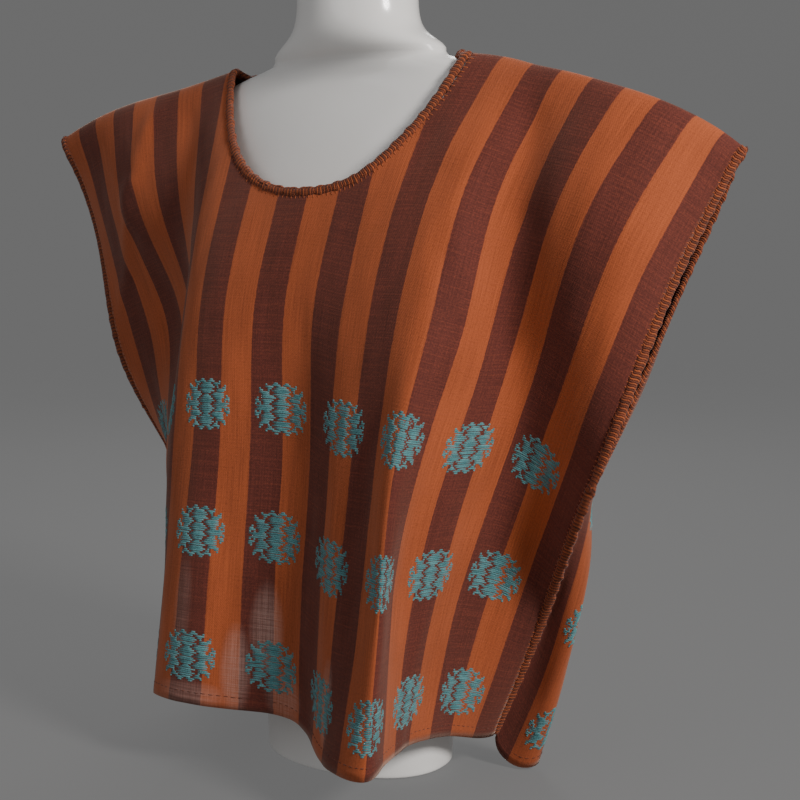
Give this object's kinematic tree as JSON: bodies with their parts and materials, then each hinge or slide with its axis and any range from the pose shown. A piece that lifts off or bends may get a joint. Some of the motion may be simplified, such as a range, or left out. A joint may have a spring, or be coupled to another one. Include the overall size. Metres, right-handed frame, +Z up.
{
  "type": "blouse on a limbless dress form",
  "caption": "Loose straight-cut blouse of striped hand-woven cloth with crocheted edges, open at neck, armholes and hem, worn by a smooth limbless dress form.",
  "frame": {"origin": "centre of the flat underside of the dress form, on the surface that it stands on", "axes": "+Z up; the wearer faces -Y, with the wearer's left hand towards +X"},
  "size_m": [0.6458, 0.3031, 0.6563],
  "materials": {
    "woven_cloth": "matt hand-woven cotton with warp stripes of orange and dark maroon and raised teal motifs",
    "crochet_edging": "matt crocheted yarn, rust and dark brown",
    "form_shell": "smooth glossy white"
  },
  "bodies": {
    "root": {"cloth": "woven_cloth", "hem_front": "woven_cloth", "hem_back": "woven_cloth", "neck_edging": "crochet_edging", "armhole_edging_right": "crochet_edging", "armhole_edging_left": "crochet_edging", "side_seam_right": "crochet_edging", "side_seam_left": "crochet_edging", "dress_form": "form_shell"}
  },
  "joints": []
}
